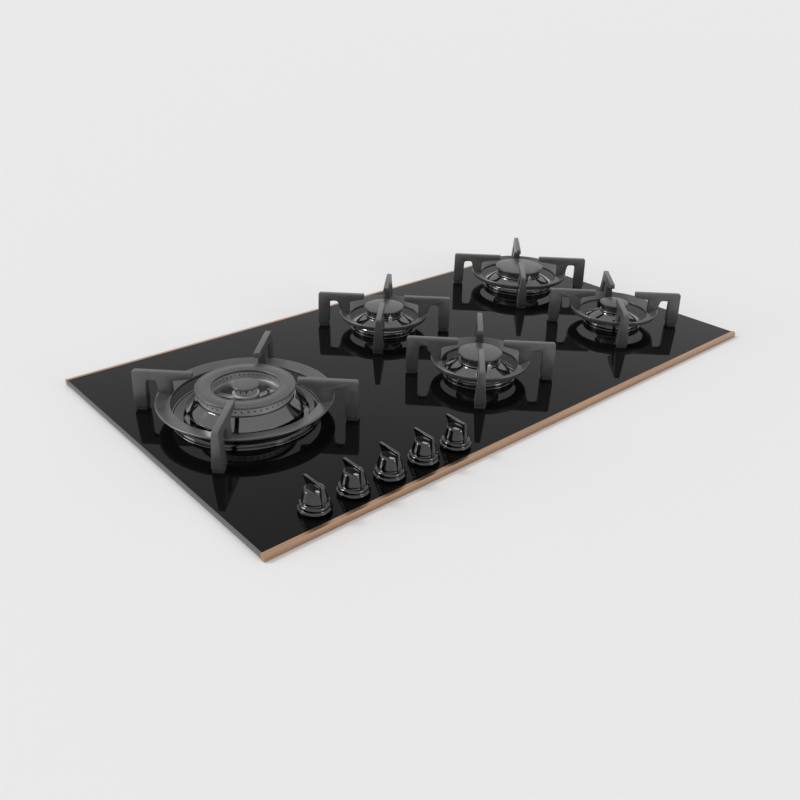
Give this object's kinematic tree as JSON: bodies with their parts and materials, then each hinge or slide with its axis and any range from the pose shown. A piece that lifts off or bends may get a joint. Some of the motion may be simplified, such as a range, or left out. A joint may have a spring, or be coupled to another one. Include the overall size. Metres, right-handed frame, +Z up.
{
  "type": "gas hob",
  "caption": "Built-in gas hob with a black glass top, copper-coloured edge strips, round burners, cast-iron pan supports and a row of knobs.",
  "frame": {"origin": "centre of the worktop seat, the plane that the foam seal under the glass rests on", "axes": "+X along the long side, to the right seen from the front; +Y to the back, away from the knobs; +Z up out of the worktop"},
  "size_m": [0.9, 0.5, 0.108],
  "materials": {
    "black_glass": "gloss",
    "copper_trim": "satin, copper-coloured anodised",
    "foam_seal": "matt",
    "galvanised_steel": "satin",
    "zinc_steel": "satin",
    "black_chrome": "polished, dark",
    "dark_alloy": "satin, dark",
    "black_enamel": "satin",
    "cast_iron": "satin enamel",
    "pad_rubber": "matt",
    "black_knob": "gloss",
    "spindle_steel": "satin",
    "brass": "machined",
    "cast_aluminium": "die cast",
    "aluminium_pipe": "drawn",
    "white_ceramic": "glazed ceramic",
    "copper_probe": "drawn",
    "grey_plastic": "matt",
    "cable_rubber": "satin"
  },
  "bodies": {
    "hob": {"glass_top": "black_glass", "edge_trims": "copper_trim", "worktop_seal": "foam_seal", "base_tray": "galvanised_steel", "clamp_brackets": "galvanised_steel", "clamp_screws": "zinc_steel", "bracket_screws": "zinc_steel", "burner_bowls": "black_chrome", "wok_base": "black_chrome", "base_mid_rear": "black_chrome", "base_mid_front": "black_chrome", "base_right_rear": "black_chrome", "base_right_front": "black_chrome", "tap_bodies": "cast_aluminium", "gas_rail": "zinc_steel", "gas_inlet": "brass", "supply_pipes": "aluminium_pipe", "injectors": "brass", "spark_electrodes": "white_ceramic", "thermocouples": "copper_probe", "spark_generator": "grey_plastic", "ignition_wiring": "cable_rubber", "mains_terminal": "grey_plastic"},
    "plug_1": {"tap_plug_1": "brass"},
    "knob_1": {"knob_1": "black_knob", "spindle_1": "spindle_steel"},
    "plug_2": {"tap_plug_2": "brass"},
    "knob_2": {"knob_2": "black_knob", "spindle_2": "spindle_steel"},
    "plug_3": {"tap_plug_3": "brass"},
    "knob_3": {"knob_3": "black_knob", "spindle_3": "spindle_steel"},
    "plug_4": {"tap_plug_4": "brass"},
    "knob_4": {"knob_4": "black_knob", "spindle_4": "spindle_steel"},
    "plug_5": {"tap_plug_5": "brass"},
    "knob_5": {"knob_5": "black_knob", "spindle_5": "spindle_steel"},
    "support_wok": {"pan_support_wok": "cast_iron", "support_pads_wok": "pad_rubber"},
    "support_mid_rear": {"pan_support_mid_rear": "cast_iron", "support_pads_mid_rear": "pad_rubber"},
    "support_mid_front": {"pan_support_mid_front": "cast_iron", "support_pads_mid_front": "pad_rubber"},
    "support_right_rear": {"pan_support_right_rear": "cast_iron", "support_pads_right_rear": "pad_rubber"},
    "support_right_front": {"pan_support_right_front": "cast_iron", "support_pads_right_front": "pad_rubber"},
    "crown_wok": {"wok_crown": "dark_alloy"},
    "cap_wok_outer": {"wok_outer_cap": "black_enamel"},
    "crown_wok_inner": {"wok_inner_crown": "dark_alloy"},
    "cap_wok_inner": {"wok_inner_cap": "black_enamel"},
    "crown_mid_rear": {"crown_mid_rear": "dark_alloy"},
    "cap_mid_rear": {"cap_mid_rear": "black_enamel"},
    "crown_mid_front": {"crown_mid_front": "dark_alloy"},
    "cap_mid_front": {"cap_mid_front": "black_enamel"},
    "crown_right_rear": {"crown_right_rear": "dark_alloy"},
    "cap_right_rear": {"cap_right_rear": "black_enamel"},
    "crown_right_front": {"crown_right_front": "dark_alloy"},
    "cap_right_front": {"cap_right_front": "black_enamel"}
  },
  "joints": [
    {"name": "tap_1_turn", "type": "hinge", "parent": "hob", "child": "plug_1", "pos_m": [-0.365, -0.218, 0], "axis": [0, 0, 1], "range_deg": [0, 210]},
    {"name": "knob_1_press", "type": "slide", "parent": "plug_1", "child": "knob_1", "axis": [0, 0, -1], "range_m": [0, 0.0025], "stiffness_N_per_m": 3000, "springref_m": -0.002},
    {"name": "tap_2_turn", "type": "hinge", "parent": "hob", "child": "plug_2", "pos_m": [-0.3125, -0.218, 0], "axis": [0, 0, 1], "range_deg": [0, 210]},
    {"name": "knob_2_press", "type": "slide", "parent": "plug_2", "child": "knob_2", "axis": [0, 0, -1], "range_m": [0, 0.0025], "stiffness_N_per_m": 3000, "springref_m": -0.002},
    {"name": "tap_3_turn", "type": "hinge", "parent": "hob", "child": "plug_3", "pos_m": [-0.26, -0.218, 0], "axis": [0, 0, 1], "range_deg": [0, 210]},
    {"name": "knob_3_press", "type": "slide", "parent": "plug_3", "child": "knob_3", "axis": [0, 0, -1], "range_m": [0, 0.0025], "stiffness_N_per_m": 3000, "springref_m": -0.002},
    {"name": "tap_4_turn", "type": "hinge", "parent": "hob", "child": "plug_4", "pos_m": [-0.2075, -0.218, 0], "axis": [0, 0, 1], "range_deg": [0, 210]},
    {"name": "knob_4_press", "type": "slide", "parent": "plug_4", "child": "knob_4", "axis": [0, 0, -1], "range_m": [0, 0.0025], "stiffness_N_per_m": 3000, "springref_m": -0.002},
    {"name": "tap_5_turn", "type": "hinge", "parent": "hob", "child": "plug_5", "pos_m": [-0.155, -0.218, 0], "axis": [0, 0, 1], "range_deg": [0, 210]},
    {"name": "knob_5_press", "type": "slide", "parent": "plug_5", "child": "knob_5", "axis": [0, 0, -1], "range_m": [0, 0.0025], "stiffness_N_per_m": 3000, "springref_m": -0.002},
    {"name": "support_wok_lift", "type": "slide", "parent": "hob", "child": "support_wok", "axis": [0, 0, 1], "range_m": [0, 0.08]},
    {"name": "support_mid_rear_lift", "type": "slide", "parent": "hob", "child": "support_mid_rear", "axis": [0, 0, 1], "range_m": [0, 0.08]},
    {"name": "support_mid_front_lift", "type": "slide", "parent": "hob", "child": "support_mid_front", "axis": [0, 0, 1], "range_m": [0, 0.08]},
    {"name": "support_right_rear_lift", "type": "slide", "parent": "hob", "child": "support_right_rear", "axis": [0, 0, 1], "range_m": [0, 0.08]},
    {"name": "support_right_front_lift", "type": "slide", "parent": "hob", "child": "support_right_front", "axis": [0, 0, 1], "range_m": [0, 0.08]},
    {"name": "crown_wok_lift", "type": "slide", "parent": "hob", "child": "crown_wok", "axis": [0, 0, 1], "range_m": [0, 0.025]},
    {"name": "cap_wok_outer_lift", "type": "slide", "parent": "crown_wok", "child": "cap_wok_outer", "axis": [0, 0, 1], "range_m": [0, 0.025]},
    {"name": "crown_wok_inner_lift", "type": "slide", "parent": "hob", "child": "crown_wok_inner", "axis": [0, 0, 1], "range_m": [0, 0.025]},
    {"name": "cap_wok_inner_lift", "type": "slide", "parent": "crown_wok_inner", "child": "cap_wok_inner", "axis": [0, 0, 1], "range_m": [0, 0.025]},
    {"name": "crown_mid_rear_lift", "type": "slide", "parent": "hob", "child": "crown_mid_rear", "axis": [0, 0, 1], "range_m": [0, 0.025]},
    {"name": "cap_mid_rear_lift", "type": "slide", "parent": "crown_mid_rear", "child": "cap_mid_rear", "axis": [0, 0, 1], "range_m": [0, 0.025]},
    {"name": "crown_mid_front_lift", "type": "slide", "parent": "hob", "child": "crown_mid_front", "axis": [0, 0, 1], "range_m": [0, 0.025]},
    {"name": "cap_mid_front_lift", "type": "slide", "parent": "crown_mid_front", "child": "cap_mid_front", "axis": [0, 0, 1], "range_m": [0, 0.025]},
    {"name": "crown_right_rear_lift", "type": "slide", "parent": "hob", "child": "crown_right_rear", "axis": [0, 0, 1], "range_m": [0, 0.004]},
    {"name": "cap_right_rear_lift", "type": "slide", "parent": "crown_right_rear", "child": "cap_right_rear", "axis": [0, 0, 1], "range_m": [0, 0.005]},
    {"name": "crown_right_front_lift", "type": "slide", "parent": "hob", "child": "crown_right_front", "axis": [0, 0, 1], "range_m": [0, 0.025]},
    {"name": "cap_right_front_lift", "type": "slide", "parent": "crown_right_front", "child": "cap_right_front", "axis": [0, 0, 1], "range_m": [0, 0.025]}
  ]
}
